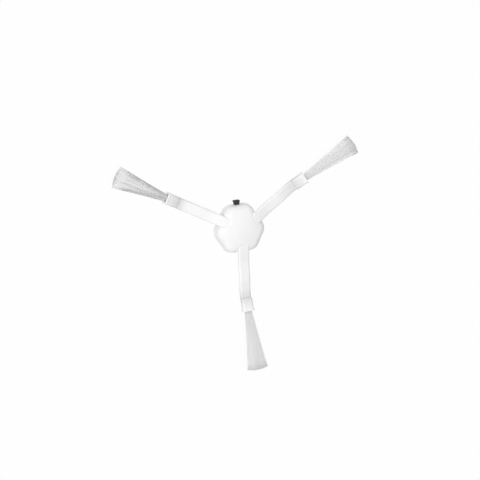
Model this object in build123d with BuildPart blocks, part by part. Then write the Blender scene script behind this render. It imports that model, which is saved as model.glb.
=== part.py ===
from build123d import *
import os
from math import cos, radians, sin, tan

os.makedirs("parts", exist_ok=True)

# Robot vacuum side brush, lying on its back with its crown up.
# +Z is the spin axis, z = 0 is the hub's back face, where the brush meets the robot.

# Hub, a domed cushion with three lobes that is hollow from the back
hub_height = 8.4
hub_draft = 8.0
crown_radius = 45.0
lobe_reach = 13.3
lobe_width = 19.2
lobe_corner_radius = 6.2
notch_radius = 2.0
shoulder_radius = 4.6
rim_thickness = 1.8
crown_thickness = 1.8
socket_wall = 1.4

# Arms, straps that come off the crown, with their heights measured down from it
arm_count = 3
first_arm_angle = -90.0
arm_width = 6.1
arm_thickness = 2.2
arm_edge_radius = 1.0
arm_root_radius = 5.0
arm_root_drop = 1.9
arm_shoulder_radius = 12.0
arm_shoulder_drop = 2.7
arm_bend_radius = 18.0
arm_bend_drop = 4.2
arm_level_radius = 27.0
arm_level_drop = 4.9

# Collars at the arm ends
crease_radius = 38.1
crease_drop = 6.4
strap_end_length = 3.0
collar_drop = 5.6
collar_length = 7.6
collar_width = 6.2
collar_thickness = 3.7
collar_corner_radius = 1.2
collar_end_radius = 1.0
collar_slope = 12.5
lip_length = 1.1
lip_rise = 0.25
lip_edge_radius = 0.25

# Bristle tufts, folded over an anchor in each collar's pocket
pocket_width = 4.3
pocket_thickness = 2.3
pocket_depth = 6.0
pocket_clearance = 0.05
tuft_length = 32.2
tuft_tip_width = 12.0
tuft_tip_thickness = 3.2
filament_diameter = 0.25
filament_rows = 5
filament_columns = 16
filament_sides = 6
filament_seat = 0.5
anchor_width = 4.9
anchor_height = 1.3
anchor_thickness = 0.4
anchor_depth = 5.0

# Drive coupling that plugs into the back of the hub, with a release tab at one side
flange_thickness = 2.2
flange_clearance = 0.1
boss_radius = 5.2
boss_clearance = 0.05
boss_roof = 1.0
pilot_radius = 3.4
pilot_length = 2.5
drive_square = 4.6
drive_square_length = 2.6
tab_neck_width = 2.6
tab_end_width = 3.9
tab_end_radius = 15.5
tab_neck_length = 0.4
tab_corner_radius = 0.5
tab_clearance = 0.1
edge_break = 0.3

arm_angles = [first_arm_angle + 360 / arm_count * number for number in range(arm_count)]
tab_angle = first_arm_angle + 180


def lobed_outline(inset):
    """Outline of the hub's back, drawn the given distance inside it: lobes with notches for the arms."""
    with PolarLocations(0, arm_count, start_angle=tab_angle):
        Rectangle(lobe_reach - inset, lobe_width - 2 * inset, align=(Align.MIN, Align.CENTER))
    corners = vertices().sort_by_distance((0, 0, 0))
    fillet(corners[arm_count:], radius=lobe_corner_radius - inset)
    notches = vertices().sort_by_distance((0, 0, 0))
    fillet(notches[:arm_count], radius=notch_radius + inset)


# The strap, drawn along +X: it comes off the crown and dips before the collar
strap_end_rise = strap_end_length * tan(radians(collar_slope))
with BuildPart() as strap:
    with BuildSketch(Plane.XZ) as strap_side:
        with BuildLine() as strap_path:
            Spline(
                (arm_root_radius, hub_height - arm_root_drop),
                (arm_shoulder_radius, hub_height - arm_shoulder_drop),
                (arm_bend_radius, hub_height - arm_bend_drop),
                (arm_level_radius, hub_height - arm_level_drop),
                (crease_radius, hub_height - crease_drop),
                (crease_radius + strap_end_length, hub_height - crease_drop + strap_end_rise),
            )
        trace(line_width=arm_thickness)
    extrude(amount=arm_width / 2, both=True)
    strap_edges = strap.faces().filter_by(Axis.Y).edges()
    fillet(strap_edges.filter_by(GeomType.LINE, reverse=True), radius=arm_edge_radius)

# The collar at the end of the strap, with a raised lip round its mouth
collar_plane = Plane(
    origin=(crease_radius, 0, hub_height - collar_drop),
    x_dir=(0, 1, 0),
    z_dir=(cos(radians(collar_slope)), 0, sin(radians(collar_slope))),
)
mouth_plane = collar_plane.offset(collar_length)

with BuildPart() as collar:
    with BuildSketch(collar_plane) as collar_section:
        RectangleRounded(collar_width, collar_thickness, collar_corner_radius)
    extrude(amount=collar_length)
    fillet(collar.faces().sort_by(Axis.X)[0].edges(), radius=collar_end_radius)

with BuildPart() as lip:
    with BuildSketch(mouth_plane.offset(-lip_length)) as lip_section:
        RectangleRounded(
            collar_width + 2 * lip_rise,
            collar_thickness + 2 * lip_rise,
            collar_corner_radius + lip_rise,
        )
    extrude(amount=lip_length)
    lip_ends = lip.faces().sort_by(Axis.X)
    fillet(lip_ends[0].edges() + lip_ends[-1].edges(), radius=lip_edge_radius)

with BuildPart() as arm:
    add(strap.part)
    add(collar.part)
    add(lip.part)
    with BuildSketch(mouth_plane) as pocket_section:
        Rectangle(pocket_width, pocket_thickness)
    extrude(amount=-pocket_depth, mode=Mode.SUBTRACT)
    with BuildSketch(mouth_plane.offset(-anchor_depth)) as anchor_slot:
        Rectangle(anchor_width, anchor_height)
    extrude(amount=anchor_thickness, mode=Mode.SUBTRACT)

# The hollow under the crown, less the socket wall that stays standing in it
socket_radius = boss_radius + boss_clearance
with BuildPart() as hollow:
    with BuildSketch(Plane.XY) as hollow_outline:
        lobed_outline(rim_thickness)
    extrude(amount=hub_height, taper=hub_draft)
    with Locations((0, 0, hub_height - crown_radius)):
        Sphere(crown_radius - crown_thickness, mode=Mode.INTERSECT)
    with BuildSketch(Plane.XY.offset(flange_thickness)) as socket_section:
        Circle(socket_radius + socket_wall)
        Circle(socket_radius, mode=Mode.SUBTRACT)
    extrude(amount=hub_height, mode=Mode.SUBTRACT)

# One white moulding: lobed hub, three arms and their collars
with BuildPart() as body:
    with BuildSketch(Plane.XY) as hub_outline:
        lobed_outline(0)
    extrude(amount=hub_height, taper=hub_draft)
    with Locations((0, 0, hub_height - crown_radius)):
        Sphere(crown_radius, mode=Mode.INTERSECT)
    fillet(body.faces().filter_by(GeomType.SPHERE).edges(), radius=shoulder_radius)
    with PolarLocations(0, arm_count, start_angle=first_arm_angle):
        add(arm.part)
    add(hollow.part, mode=Mode.SUBTRACT)
    with BuildSketch(Plane.XY) as tab_notch:
        with PolarLocations(lobe_reach - 2 * rim_thickness, 1, start_angle=tab_angle):
            Rectangle(
                2 * rim_thickness,
                tab_neck_width + 2 * tab_clearance,
                align=(Align.MIN, Align.CENTER),
            )
    extrude(amount=flange_thickness + tab_clearance, mode=Mode.SUBTRACT)
body.part.label = "brush_body"
export_step(body.part, "parts/brush_body.step")

# Black drive coupling: lobed flange, boss with a piloted square socket, and the flared tab
flare_start = lobe_reach + tab_neck_length
with BuildPart() as coupling:
    with BuildSketch(Plane.XY) as flange_outline:
        lobed_outline(rim_thickness + flange_clearance)
    extrude(amount=flange_thickness, taper=hub_draft)
    with BuildSketch(Plane.XY) as tab_outline:
        with BuildSketch(mode=Mode.PRIVATE) as tab:
            with BuildLine():
                Polyline(
                    (boss_radius, -tab_neck_width / 2),
                    (flare_start, -tab_neck_width / 2),
                    (tab_end_radius, -tab_end_width / 2),
                    (tab_end_radius, tab_end_width / 2),
                    (flare_start, tab_neck_width / 2),
                    (boss_radius, tab_neck_width / 2),
                    close=True,
                )
            make_face()
            fillet(tab.vertices().group_by(Axis.X)[-1], radius=tab_corner_radius)
        with PolarLocations(0, 1, start_angle=tab_angle):
            add(tab.sketch)
    extrude(amount=flange_thickness)
    with BuildSketch(Plane.XY) as boss_outline:
        Circle(boss_radius)
    extrude(amount=pilot_length + drive_square_length + boss_roof)
    chamfer(coupling.faces().sort_by(Axis.Z)[-1].edges(), length=edge_break)
    with BuildSketch(Plane.XY) as pilot_bore:
        Circle(pilot_radius)
    extrude(amount=pilot_length, mode=Mode.SUBTRACT)
    with BuildSketch(Plane.XY.offset(pilot_length)) as drive_socket:
        Rectangle(drive_square, drive_square)
    extrude(amount=drive_square_length, mode=Mode.SUBTRACT)
coupling.part.label = "drive_coupling"
export_step(coupling.part, "parts/drive_coupling.step")

# A tuft, drawn along +X: the folded root in the pocket and the filaments that fan out of it
root_width = pocket_width - 2 * pocket_clearance
root_thickness = pocket_thickness - 2 * pocket_clearance
with BuildPart() as tuft_along_x:
    with BuildSketch(mouth_plane) as root_section:
        Rectangle(root_width, root_thickness)
    extrude(amount=pocket_clearance - pocket_depth)
    with BuildSketch(mouth_plane.offset(-anchor_depth)) as fold_slot:
        Rectangle(root_width, anchor_height)
    extrude(amount=anchor_thickness, mode=Mode.SUBTRACT)
    for row in range(filament_rows):
        across = (row + 0.5) / filament_rows - 0.5
        columns = filament_columns - row % 2
        for column in range(columns):
            along = (column + 0.5) / columns - 0.5
            start = Vector(along * root_width, across * root_thickness, -filament_seat)
            aim = Vector(along * tuft_tip_width, across * tuft_tip_thickness, tuft_length) - start
            filament_plane = Plane(
                origin=mouth_plane.from_local_coords(start),
                z_dir=mouth_plane.from_local_coords(start + aim) - mouth_plane.from_local_coords(start),
            )
            with BuildSketch(filament_plane):
                RegularPolygon(filament_diameter / 2, filament_sides)
    extrude(amount=tuft_length + filament_seat)

for number, angle in enumerate(arm_angles, start=1):
    with BuildPart() as tuft:
        with PolarLocations(0, 1, start_angle=angle):
            add(tuft_along_x.part)
    tuft.part.label = f"bristle_tuft_{number}"
    export_step(tuft.part, f"parts/bristle_tuft_{number}.step")

# Flat metal anchors, each driven across the fold of its tuft into the collar's side walls
with BuildPart() as anchor:
    with BuildSketch(mouth_plane.offset(-anchor_depth)) as anchor_outline:
        Rectangle(anchor_width, anchor_height)
    extrude(amount=anchor_thickness)

with BuildPart() as anchors:
    with PolarLocations(0, arm_count, start_angle=first_arm_angle):
        add(anchor.part)
anchors.part.label = "tuft_anchors"
export_step(anchors.part, "parts/tuft_anchors.step")
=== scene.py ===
# %% [markdown]
# Robot vacuum side brush. A white moulding with a lobed hub and three strap arms carries a
# tuft of nylon bristles at the end of each arm, and a black drive coupling sits in its back.
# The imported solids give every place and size. This lesson adds the finishes, the single
# bristles, the light and the camera.

# %% Load the frame
import math
import random

import bmesh
import bpy
from mathutils import Matrix, Vector


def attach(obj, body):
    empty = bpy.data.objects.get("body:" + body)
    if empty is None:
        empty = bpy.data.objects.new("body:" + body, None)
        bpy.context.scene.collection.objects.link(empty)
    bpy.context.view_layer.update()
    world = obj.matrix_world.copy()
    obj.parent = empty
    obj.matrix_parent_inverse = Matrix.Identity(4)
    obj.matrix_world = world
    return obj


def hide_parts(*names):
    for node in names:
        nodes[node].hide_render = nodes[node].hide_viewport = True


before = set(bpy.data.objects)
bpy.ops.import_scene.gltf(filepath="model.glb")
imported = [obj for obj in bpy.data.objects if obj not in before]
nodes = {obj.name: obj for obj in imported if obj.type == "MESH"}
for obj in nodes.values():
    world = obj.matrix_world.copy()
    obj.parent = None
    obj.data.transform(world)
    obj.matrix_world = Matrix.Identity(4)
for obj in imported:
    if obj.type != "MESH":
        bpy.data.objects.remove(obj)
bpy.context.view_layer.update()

MM = 0.001
scene = bpy.context.scene
print("nodes:", sorted(nodes))

# %% [markdown]
# The camera comes first, because everything else is judged through it. The brush lies on its
# back and the lens looks down on the crown from a little to the upper left, with a long lens
# so that the arms keep their proportions. It could be placed by three rotations, but an aim
# point, a bearing, a rise and a roll are easier to adjust one at a time.

# %% Camera
lens_angle = math.radians(24)
aim_point = Vector((1.45, -7.29, -2.6)) * MM
camera_distance = 610.9 * MM
camera_bearing = math.radians(147.2)
camera_rise = math.radians(67.5)
camera_roll = math.radians(-5.26)


def direction(bearing, rise):
    """Unit vector at a bearing round the spin axis and a rise above the floor."""
    return Vector((
        math.cos(rise) * math.cos(bearing),
        math.cos(rise) * math.sin(bearing),
        math.sin(rise),
    ))


back = direction(camera_bearing, camera_rise)
level_up = (Vector((0, 1, 0)) - back * back.y).normalized()
up = Matrix.Rotation(camera_roll, 3, back) @ level_up
right = up.cross(back)

camera = bpy.data.objects.new("camera", bpy.data.cameras.new("camera"))
scene.collection.objects.link(camera)
camera.data.angle = lens_angle
turn = Matrix((right, up, back)).transposed().to_4x4()
camera.matrix_world = Matrix.Translation(aim_point + back * camera_distance) @ turn
scene.camera = camera
print("camera at", [round(value, 4) for value in camera.location])

# %% [markdown]
# The moulded plastics share one effect, the skin that a mould leaves: a very fine grain from
# the sparked steel, and slow changes of tone and gloss where the plastic flowed and cooled.
# It could be painted for each piece, but a node group on Object coordinates gives every
# piece the same grain size, and each material then sets its own colours and depth.

# %% Moulded skin, a node group for both plastics
grain_scale = 5200.0
flow_scale = 90.0
gloss_finer = 6.0


def new_group(name, inputs, outputs):
    group = bpy.data.node_groups.new(name, "ShaderNodeTree")
    for label, default in inputs:
        socket = group.interface.new_socket(label, in_out="INPUT", socket_type="NodeSocketFloat")
        socket.default_value = default
    for label in outputs:
        group.interface.new_socket(label, in_out="OUTPUT", socket_type="NodeSocketFloat")
    return group, group.nodes.new("NodeGroupInput"), group.nodes.new("NodeGroupOutput")


def feed(tree, socket, value):
    """Give a node's input a number, a colour or another node's output."""
    if isinstance(value, bpy.types.NodeSocket):
        tree.links.new(value, socket)
    elif isinstance(value, tuple):
        socket.default_value = (*value, 1)
    else:
        socket.default_value = value


def calculate(tree, operation, *values):
    """Result of a Math node."""
    node = tree.nodes.new("ShaderNodeMath")
    node.operation = operation
    for socket, value in zip(node.inputs, values):
        feed(tree, socket, value)
    return node.outputs["Value"]


def noise(tree, detail, roughness):
    texture = tree.nodes.new("ShaderNodeTexNoise")
    texture.inputs["Detail"].default_value = detail
    texture.inputs["Roughness"].default_value = roughness
    return texture


skin, skin_in, skin_out = new_group(
    "moulded_skin",
    inputs=[("Grain Scale", grain_scale), ("Flow Scale", flow_scale)],
    outputs=["Flow", "Gloss", "Grain"],
)
place = skin.nodes.new("ShaderNodeTexCoord")
flow = noise(skin, detail=3.0, roughness=0.5)
gloss = noise(skin, detail=4.0, roughness=0.6)
grain = noise(skin, detail=2.0, roughness=0.55)
gloss_scale = calculate(skin, "MULTIPLY", skin_in.outputs["Flow Scale"], gloss_finer)
for label, texture, scale in (
    ("Flow", flow, skin_in.outputs["Flow Scale"]),
    ("Gloss", gloss, gloss_scale),
    ("Grain", grain, skin_in.outputs["Grain Scale"]),
):
    skin.links.new(place.outputs["Object"], texture.inputs["Vector"])
    skin.links.new(scale, texture.inputs["Scale"])
    skin.links.new(texture.outputs["Fac"], skin_out.inputs[label])
print("skin nodes:", len(skin.nodes))

# %% [markdown]
# In front of each collar the strap dips into a fold before the collar rises. The shade that
# falls in that fold is painted into the white as a darker grey. It could be painted on each
# arm, but all three folds lie on one ring round the spin axis, so the mask needs only the
# distance from the axis, and a ramp shapes it.

# %% Painted shade in the folds, a node group
crease_shade_inner = 26.4 * MM
crease_shade_outer = 45.4 * MM
crease_shade_stops = [
    (0.0, 0.0), (0.18, 0.08), (0.32, 0.2), (0.42, 0.42), (0.53, 0.85), (0.64, 1.0),
    (0.74, 0.62), (0.86, 0.34), (0.96, 0.1), (1.0, 0.0),
]


def ramp_of(tree, source, stops):
    """Grey level that a ramp gives for a value, from stops of position and level."""
    ramp = tree.nodes.new("ShaderNodeValToRGB")
    for position, level in stops[1:-1]:
        ramp.color_ramp.elements.new(position)
    for stop, (position, level) in zip(ramp.color_ramp.elements, stops):
        stop.position = position
        stop.color = (level, level, level, 1)
    tree.links.new(source, ramp.inputs["Fac"])
    return ramp.outputs["Color"]


crease_shade_group, _, crease_shade_out = new_group("painted_crease_shade", inputs=[], outputs=["Fold"])
place = crease_shade_group.nodes.new("ShaderNodeTexCoord")
flatten = crease_shade_group.nodes.new("ShaderNodeVectorMath")
flatten.operation = "MULTIPLY"
flatten.inputs[1].default_value = (1, 1, 0)
axis_distance = crease_shade_group.nodes.new("ShaderNodeVectorMath")
axis_distance.operation = "LENGTH"
span = crease_shade_group.nodes.new("ShaderNodeMapRange")
span.inputs["From Min"].default_value = crease_shade_inner
span.inputs["From Max"].default_value = crease_shade_outer
crease_shade_group.links.new(place.outputs["Object"], flatten.inputs[0])
crease_shade_group.links.new(flatten.outputs["Vector"], axis_distance.inputs[0])
crease_shade_group.links.new(axis_distance.outputs["Value"], span.inputs["Value"])
crease_shade_group.links.new(ramp_of(crease_shade_group, span.outputs["Result"], crease_shade_stops), crease_shade_out.inputs["Fold"])
print("fold nodes:", len(crease_shade_group.nodes))

# %% [markdown]
# The hub with its arms and the coupling behind it are moulded plastic, one white and one
# black. A plain colour with one gloss would look painted, so a single function wires the skin
# into both: the flow shifts the tone, the gloss shifts the roughness, and the grain raises a
# very low bump. Only the white one gets the painted shade in its folds.

# %% Materials for the two plastics
noise_low = 0.3
noise_high = 0.7
grain_strength = 0.35
plastic_specular = 0.3


def new_material(name):
    material = bpy.data.materials.new(name)
    material.use_nodes = True
    return material, material.node_tree, material.node_tree.nodes["Principled BSDF"]


def spread_noise(tree, source, low, high):
    """Spread the middle of a noise, where most of its values lie, over a range."""
    spread = tree.nodes.new("ShaderNodeMapRange")
    spread.inputs["From Min"].default_value = noise_low
    spread.inputs["From Max"].default_value = noise_high
    spread.inputs["To Min"].default_value = low
    spread.inputs["To Max"].default_value = high
    tree.links.new(source, spread.inputs["Value"])
    return spread.outputs["Result"]


def mix_colours(tree, factor, first, second, blend="MIX"):
    mix = tree.nodes.new("ShaderNodeMix")
    mix.data_type = "RGBA"
    mix.blend_type = blend
    first_input, second_input = [socket for socket in mix.inputs if socket.type == "RGBA"]
    feed(tree, mix.inputs["Factor"], factor)
    feed(tree, first_input, first)
    feed(tree, second_input, second)
    return next(socket for socket in mix.outputs if socket.type == "RGBA")


def moulded_plastic(name, dark, light, roughness, grain_depth, painted_crease_shade_colour=None):
    material, tree, shader = new_material(name)
    effect = tree.nodes.new("ShaderNodeGroup")
    effect.node_tree = skin
    tone = spread_noise(tree, effect.outputs["Flow"], 0.0, 1.0)
    colour = mix_colours(tree, tone, dark, light)
    # Painted shade: the white turns a darker grey in the folds in front of the collars.
    if painted_crease_shade_colour:
        crease_shade_node = tree.nodes.new("ShaderNodeGroup")
        crease_shade_node.node_tree = crease_shade_group
        colour = mix_colours(tree, crease_shade_node.outputs["Fold"], colour, painted_crease_shade_colour)
    bump = tree.nodes.new("ShaderNodeBump")
    bump.inputs["Strength"].default_value = grain_strength
    bump.inputs["Distance"].default_value = grain_depth
    tree.links.new(effect.outputs["Grain"], bump.inputs["Height"])
    tree.links.new(colour, shader.inputs["Base Color"])
    tree.links.new(
        spread_noise(tree, effect.outputs["Gloss"], *roughness), shader.inputs["Roughness"]
    )
    tree.links.new(bump.outputs["Normal"], shader.inputs["Normal"])
    shader.inputs["Specular IOR Level"].default_value = plastic_specular
    return material


# The darker grey of the white moulding is painted shade for the folds before the collars.
white_moulding = moulded_plastic(
    "white_moulding", dark=(0.875, 0.875, 0.875), light=(0.905, 0.905, 0.905),
    roughness=(0.55, 0.66), grain_depth=0.01 * MM, painted_crease_shade_colour=(0.71, 0.71, 0.71),
)
black_plastic = moulded_plastic(
    "black_plastic", dark=(0.012, 0.012, 0.013), light=(0.019, 0.019, 0.020),
    roughness=(0.38, 0.5), grain_depth=0.015 * MM,
)


def dress(piece, material):
    piece.data.materials.clear()
    piece.data.materials.append(material)
    print(piece.name, "has", material.name)


dress(nodes["brush_body"], white_moulding)
dress(nodes["drive_coupling"], black_plastic)

# %% [markdown]
# Each tuft is held by a flat steel anchor across its fold, deep in the collar. Strip steel
# has fine lines from rolling. They could be cut into the mesh, but they are far too fine for
# that, so they are a noise that is stretched along two axes.

# %% Anchor steel
steel_dark = (0.55, 0.55, 0.56)
steel_light = (0.68, 0.68, 0.69)
steel_roughness = (0.28, 0.42)
rolling_scale = (900, 900, 9000)

anchor_steel, tree, shader = new_material("anchor_steel")
shader.inputs["Metallic"].default_value = 1.0
place = tree.nodes.new("ShaderNodeTexCoord")
stretch = tree.nodes.new("ShaderNodeMapping")
stretch.inputs["Scale"].default_value = rolling_scale
rolling = noise(tree, detail=3.0, roughness=0.6)
rolling.inputs["Scale"].default_value = 1.0
tree.links.new(place.outputs["Object"], stretch.inputs["Vector"])
tree.links.new(stretch.outputs["Vector"], rolling.inputs["Vector"])
lines = spread_noise(tree, rolling.outputs["Fac"], 0.0, 1.0)
tree.links.new(mix_colours(tree, lines, steel_dark, steel_light), shader.inputs["Base Color"])
tree.links.new(
    spread_noise(tree, rolling.outputs["Fac"], *steel_roughness), shader.inputs["Roughness"]
)
dress(nodes["tuft_anchors"], anchor_steel)

# %% [markdown]
# A tuft is a bundle of fine nylon filaments that is folded over the anchor and squeezed into
# the collar, so it fans out as soon as it leaves the mouth. The solids hold a coarse bundle.
# Each tuft could be modelled where it lies, but it is simpler to draw it upright, with its
# mouth at the origin, and to carry it into its collar by one matrix.

# %% Places of the tufts, as in the solids
arm_angles = [math.radians(degrees) for degrees in (-90.0, 30.0, 150.0)]
crease_radius = 38.1 * MM
collar_height = 2.8 * MM
collar_length = 7.6 * MM
collar_slope = math.radians(12.5)
pocket_width = 4.3 * MM
pocket_thickness = 2.3 * MM
tuft_length = 32.2 * MM
tip_width = 12.0 * MM
tip_thickness = 3.2 * MM


def tuft_frame(angle):
    """Matrix from the tuft's own axes (across, through, along) to its place in the mouth."""
    across = Vector((-math.sin(angle), math.cos(angle), 0))
    along = direction(angle, collar_slope)
    through = along.cross(across)
    crease = direction(angle, 0) * crease_radius + Vector((0, 0, collar_height))
    turn = Matrix((across, through, along)).transposed().to_4x4()
    return Matrix.Translation(crease + along * collar_length) @ turn


for angle in arm_angles:
    print("mouth at", [round(value, 4) for value in tuft_frame(angle).translation])

# %% [markdown]
# The bundle is an oblong in the mouth and widens towards the cut ends, most of all across the
# arm. A straight taper would look stiff, so the sides curve outwards a little. The edges of
# the fan are thin, and the cut follows a shallow bow.

# %% Fan of a tuft
strand_radius = 0.11 * MM
fan_curve = 0.2
edge_thinning = 0.85
tip_bow = 0.9 * MM


def fan_size(step):
    """Half width and half depth of the bundle at a share of the tuft's length."""
    flare = (1 - fan_curve) * step + fan_curve * step * step
    half_width = pocket_width / 2 * (1 - flare) + tip_width / 2 * flare - 2 * strand_radius
    half_depth = pocket_thickness / 2 * (1 - flare) + tip_thickness / 2 * flare - 2 * strand_radius
    return half_width, half_depth


def thinned(across):
    """Share of the bundle's depth that is left at a place across the fan."""
    return 1 - edge_thinning * across ** 2


for step in (0.0, 1.0):
    print("fan at", step, "is", [round(2 * size / MM, 2) for size in fan_size(step)], "mm")

# %% [markdown]
# The filaments of the real tuft lie in no strict order: each strays a little, is slightly
# crimped and is cut a little longer or shorter than the next. So the strands start on a grid
# of rows and columns, and a seeded draw shifts each one, which gives the same tuft every time.

# %% Draw of the strands
strand_rows = 7
strand_columns = 34
grid_jitter = 0.5
stray_spread = 0.012
cut_spread = 0.14 * MM
cut_margin = 0.3 * MM
darkest_strand = 0.4
strand_crimp = 0.10 * MM
crimp_angle = 9.0
crimp_through = 0.5


def draw_strands(rng):
    strands = []
    for row in range(strand_rows):
        columns = strand_columns - row % 2
        for column in range(columns):
            across = 2 * (column + 0.5) / columns - 1
            through = 2 * (row + 0.5) / strand_rows - 1
            strands.append({
                "across": across + rng.uniform(-grid_jitter, grid_jitter) / columns,
                "through": through + rng.uniform(-grid_jitter, grid_jitter) / strand_rows,
                "stray": rng.gauss(0, stray_spread),
                "extra": rng.gauss(0, cut_spread),
                "phase": rng.uniform(0, 2 * math.pi),
                "tone": rng.uniform(darkest_strand, 1),
            })
    return strands


def strand_point(strand, step):
    """Centre of a strand at a share of the tuft's length, in the tuft's own axes."""
    half_width, half_depth = fan_size(step)
    sway = strand_crimp * step * math.sin(strand["phase"] + crimp_angle * step)
    reach = tuft_length - cut_margin + strand["extra"] - tip_bow * strand["across"] ** 2
    return Vector((
        half_width * (strand["across"] + strand["stray"] * step) + sway,
        half_depth * strand["through"] * thinned(strand["across"]) + sway * crimp_through,
        reach * step,
    ))


print("strands in a tuft:", strand_rows * strand_columns - strand_rows // 2)

# %% [markdown]
# Hair curves could show the strands, but a mesh goes with the model wherever it is used. Every
# strand starts as a small disc in the pocket, and all the discs are extruded together, ring by
# ring, while each is carried along its own line of the fan. A number on each face remembers
# which strand it belongs to.

# %% Strands
strand_sides = 5
pocket_seat = 4.6 * MM
fan_steps = [0.0, 0.16, 0.36, 0.58, 0.8, 1.0]


def grow_strands(mesh, strands):
    strand_of = mesh.faces.layers.int["strand"]
    caps = []
    for index, strand in enumerate(strands):
        seat = strand_point(strand, 0.0)
        seat.z = -pocket_seat
        disc = bmesh.ops.create_circle(
            mesh, cap_ends=True, segments=strand_sides, radius=strand_radius,
            matrix=Matrix.Translation(seat),
        )
        cap = disc["verts"][0].link_faces[0]
        cap[strand_of] = index
        caps.append(cap)
        strand["at"] = seat
    for step in fan_steps:
        grown = bmesh.ops.extrude_face_region(mesh, geom=caps)
        caps = [item for item in grown["geom"] if isinstance(item, bmesh.types.BMFace)]
        for cap in caps:
            strand = strands[cap[strand_of]]
            goal = strand_point(strand, step)
            bmesh.ops.translate(mesh, verts=cap.verts, vec=goal - strand["at"])
            strand["at"] = goal


print("rings along a strand:", len(fan_steps) + 1)

# %% [markdown]
# A real tuft holds so many filaments that no light comes through its middle. Thousands of
# strands would do that too, but they would make the mesh heavy. One solid core, grown in the
# same way from a single disc, fills the middle, and the strands cover it.

# %% Packed core
core_mark = -1
core_sides = 24
core_share = 0.97
core_end = 0.98
core_squareness = 0.55
# Painted shade: the core takes the darkest tone, for the shade deep between the strands.
core_shade_tone = 0.0


def squared(value):
    """Sine or cosine that is pushed outwards, so that a circle turns into a rounded oblong."""
    return math.copysign(abs(value) ** core_squareness, value)


def core_point(turn, step):
    """Point on the core at an angle round it and a share of the tuft's length."""
    half_width, half_depth = fan_size(step)
    across = squared(math.cos(turn))
    through = squared(math.sin(turn))
    reach = tuft_length * core_end - tip_bow * across ** 2
    return Vector((
        half_width * core_share * across,
        half_depth * core_share * through * thinned(across),
        reach * step,
    ))


def grow_core(mesh):
    strand_of = mesh.faces.layers.int["strand"]
    disc = bmesh.ops.create_circle(mesh, cap_ends=True, segments=core_sides, radius=1.0)
    turn_of = {vert: math.atan2(vert.co.y, vert.co.x) for vert in disc["verts"]}
    cap = disc["verts"][0].link_faces[0]
    cap[strand_of] = core_mark
    for vert, turn in turn_of.items():
        vert.co = core_point(turn, 0.0) - Vector((0, 0, pocket_seat))
    for step in fan_steps:
        turns = [turn_of[vert] for vert in cap.verts]
        grown = bmesh.ops.extrude_face_region(mesh, geom=[cap])
        cap = next(item for item in grown["geom"] if isinstance(item, bmesh.types.BMFace))
        turn_of = dict(zip(cap.verts, turns))
        for vert, turn in turn_of.items():
            vert.co = core_point(turn, step)


print("core ends", round(tuft_length * (1 - core_end) / MM, 2), "mm inside the tuft")

# %% [markdown]
# The nylon needs to know where on the tuft it is. Object coordinates would cross the strands,
# because they fan out, so a UV map holds the place across the fan and along it instead, and
# an attribute holds each strand's own tone.

# %% One tuft
def map_fan(mesh, strands):
    layout = mesh.loops.layers.uv.new("fan")
    tone = mesh.faces.layers.float.new("tone")
    strand_of = mesh.faces.layers.int["strand"]
    for face in mesh.faces:
        strand = None if face[strand_of] == core_mark else strands[face[strand_of]]
        face[tone] = strand["tone"] if strand else core_shade_tone
        face.smooth = len(face.verts) == 4
        for loop in face.loops:
            step = max(0.0, loop.vert.co.z / tuft_length)
            across = strand["across"] if strand else loop.vert.co.x / fan_size(step)[0]
            loop[layout].uv = (across / 2 + 0.5, step)


def make_tuft(number, angle):
    mesh = bmesh.new()
    mesh.faces.layers.int.new("strand")
    strands = draw_strands(random.Random(number))
    grow_strands(mesh, strands)
    grow_core(mesh)
    bmesh.ops.recalc_face_normals(mesh, faces=mesh.faces)
    map_fan(mesh, strands)
    bmesh.ops.transform(mesh, matrix=tuft_frame(angle), verts=mesh.verts)
    data = bpy.data.meshes.new(f"bristles_{number}")
    mesh.to_mesh(data)
    mesh.free()
    piece = bpy.data.objects.new(f"bristles_{number}", data)
    scene.collection.objects.link(piece)
    print(piece.name, "strands", len(strands), "faces", len(data.polygons))
    return piece


# %% [markdown]
# Nylon bristle is a cloudy light grey, and the strands differ a little in tone. Two ramps on
# the UV map add painted light and shade: the thin edges of the fan are painted lighter than
# its middle, to lift the shade that falls on them, and the stretch next to the collar is
# painted darker, as painted shade from the collar's mouth. One grey would hide the strands,
# so streaks vary it too.

# %% Nylon for the bristles
nylon_dark = (0.75, 0.75, 0.753)
nylon_light = (0.89, 0.89, 0.893)
nylon_roughness = 0.6
nylon_specular = 0.3
# Painted shade: darker next to the collar's mouth, and slightly darker at the cut ends.
root_shade_along_stops = [(0.0, 0.88), (0.06, 0.93), (0.2, 0.96), (0.5, 1.0), (0.85, 0.99), (1.0, 0.97)]
# Painted light: the thin edges of the fan are lighter than its middle.
edge_light_across_stops = [(0.0, 1.0), (0.12, 1.0), (0.3, 0.96), (0.7, 0.96), (0.88, 1.0), (1.0, 1.0)]
streaks_across = 55.0
streaks_along = 1.4
streak_share = 0.5
strand_share = 0.5

nylon, tree, shader = new_material("grey_bristle")
shader.inputs["Roughness"].default_value = nylon_roughness
shader.inputs["Specular IOR Level"].default_value = nylon_specular
fan_map = tree.nodes.new("ShaderNodeUVMap")
fan_map.uv_map = "fan"
fan_place = tree.nodes.new("ShaderNodeSeparateXYZ")
tree.links.new(fan_map.outputs["UV"], fan_place.inputs["Vector"])
stretch = tree.nodes.new("ShaderNodeMapping")
stretch.inputs["Scale"].default_value = (streaks_across, streaks_along, 1)
tree.links.new(fan_map.outputs["UV"], stretch.inputs["Vector"])
streaks = noise(tree, detail=2.0, roughness=0.6)
streaks.inputs["Scale"].default_value = 1.0
tree.links.new(stretch.outputs["Vector"], streaks.inputs["Vector"])
strand_tone = tree.nodes.new("ShaderNodeAttribute")
strand_tone.attribute_name = "tone"

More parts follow.
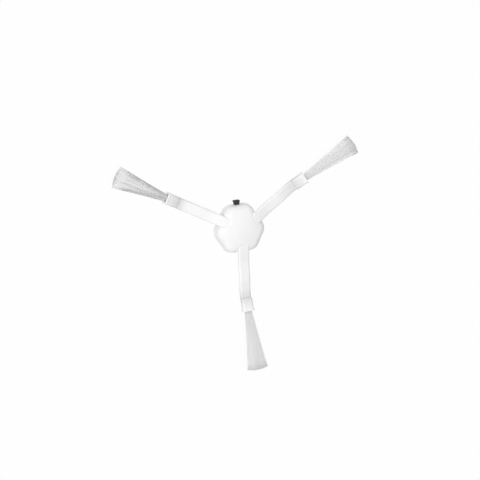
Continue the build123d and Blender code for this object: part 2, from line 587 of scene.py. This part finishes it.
streak = calculate(
    tree, "MULTIPLY", spread_noise(tree, streaks.outputs["Fac"], 0.0, 1.0), streak_share
)
tone = calculate(tree, "MULTIPLY_ADD", strand_tone.outputs["Fac"], strand_share, streak)
colour = mix_colours(tree, tone, nylon_dark, nylon_light)
for source, stops in ((fan_place.outputs["Y"], root_shade_along_stops), (fan_place.outputs["X"], edge_light_across_stops)):
    colour = mix_colours(tree, 1.0, colour, ramp_of(tree, source, stops), blend="MULTIPLY")
tree.links.new(colour, shader.inputs["Base Color"])
print("nylon nodes:", len(tree.nodes))

# %% [markdown]
# The three tufts are alike but not copies, as each has its own draw. One copied mesh would be
# lighter, but the eye finds the repeat quickly. Each takes the place of its coarse solid.

# %% Tufts in their collars
for number, angle in enumerate(arm_angles, start=1):
    bristles = make_tuft(number, angle)
    dress(bristles, nylon)
    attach(bristles, "root")
    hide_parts(f"bristle_tuft_{number}")

# %% [markdown]
# The brush lies on a plain white floor. The floor's colour alone would come out grey, and more
# light would wash out the brush. So the camera sees the floor mostly as plain white, and a
# small share of the lit floor is kept, which leaves a faint soft shadow. Mirrors and glass
# would see the same white.

# %% Floor
floor_radius = 2.0
floor_sides = 64
floor_drop = 0.1 * MM
floor_colour = (0.8, 0.8, 0.8)
floor_roughness = 0.9
white_share = 0.955


def seen_directly(tree):
    """1 for rays of the camera, of mirrors and of glass, 0 for the light that the scene exchanges."""
    path = tree.nodes.new("ShaderNodeLightPath")
    seen = path.outputs["Is Camera Ray"]
    for name in ("Is Glossy Ray", "Is Transmission Ray"):
        seen = calculate(tree, "MAXIMUM", seen, path.outputs[name])
    return seen


floor_shape = bmesh.new()
bmesh.ops.create_circle(
    floor_shape, cap_ends=True, segments=floor_sides, radius=floor_radius,
    matrix=Matrix.Translation((0, 0, -floor_drop)),
)
floor_data = bpy.data.meshes.new("floor")
floor_shape.to_mesh(floor_data)
floor_shape.free()
floor = bpy.data.objects.new("floor", floor_data)
scene.collection.objects.link(floor)

floor_white, tree, shader = new_material("floor_white")
feed(tree, shader.inputs["Base Color"], floor_colour)
shader.inputs["Roughness"].default_value = floor_roughness
shader.inputs["Specular IOR Level"].default_value = 0.0
plain_white = tree.nodes.new("ShaderNodeEmission")
plain_white.inputs["Strength"].default_value = 1.0
blend = tree.nodes.new("ShaderNodeMixShader")
share = calculate(tree, "MULTIPLY", seen_directly(tree), white_share)
tree.links.new(share, blend.inputs["Fac"])
tree.links.new(shader.outputs["BSDF"], blend.inputs[1])
tree.links.new(plain_white.outputs["Emission"], blend.inputs[2])
tree.links.new(blend.outputs["Shader"], tree.nodes["Material Output"].inputs["Surface"])
dress(floor, floor_white)

# %% [markdown]
# A white brush on white needs some shade to show its form. An even sky would flatten it, so
# the world has a dark card low at the right, as a photographer would stand one there. It takes
# light off the right flank of the hub. A direction's dot product with the card's own says how
# near it is to the card. The camera still sees plain white.

# %% World with a dark card
fill_level = 0.69
card_level = 0.04
card_bearing = math.radians(-20)
card_rise = math.radians(6)
card_edge_start = 0.3
card_edge_end = 0.6

world = bpy.data.worlds.new("studio")
scene.world = world
world.use_nodes = True
tree = world.node_tree
sky = tree.nodes["Background"]
sky.inputs["Color"].default_value = (1, 1, 1, 1)
place = tree.nodes.new("ShaderNodeTexCoord")
towards_card = tree.nodes.new("ShaderNodeVectorMath")
towards_card.operation = "DOT_PRODUCT"
towards_card.inputs[1].default_value = direction(card_bearing, card_rise)
tree.links.new(place.outputs["Generated"], towards_card.inputs[0])
fill = tree.nodes.new("ShaderNodeMapRange")
fill.inputs["From Min"].default_value = card_edge_start
fill.inputs["From Max"].default_value = card_edge_end
fill.inputs["To Min"].default_value = fill_level
fill.inputs["To Max"].default_value = card_level
tree.links.new(towards_card.outputs["Value"], fill.inputs["Value"])
level = tree.nodes.new("ShaderNodeMapRange")
level.inputs["To Max"].default_value = 1.0
tree.links.new(fill.outputs["Result"], level.inputs["To Min"])
tree.links.new(seen_directly(tree), level.inputs["Value"])
tree.links.new(level.outputs["Result"], sky.inputs["Strength"])
print("world nodes:", len(tree.nodes))

# %% [markdown]
# One large soft lamp stands high, a little to the left of the picture. A small lamp would cut
# hard shadows between the bristles. Together with the world it lights a flat white face at
# about its own colour, so the white keeps its detail.

# %% Lamp
key_size = 0.5
key_power = 6.3
key_distance = 1.1
key_bearing = math.radians(160)
key_rise = math.radians(76)

key = bpy.data.objects.new("key", bpy.data.lights.new("key", "AREA"))
key.data.shape = "DISK"
key.data.size = key_size
key.data.energy = key_power
key.location = key_distance * direction(key_bearing, key_rise)
key.rotation_mode = "QUATERNION"
key.rotation_quaternion = key.location.to_track_quat("Z", "Y")
scene.collection.objects.link(key)
scene.view_settings.view_transform = "Standard"
print("lamp at", [round(value, 3) for value in key.location])
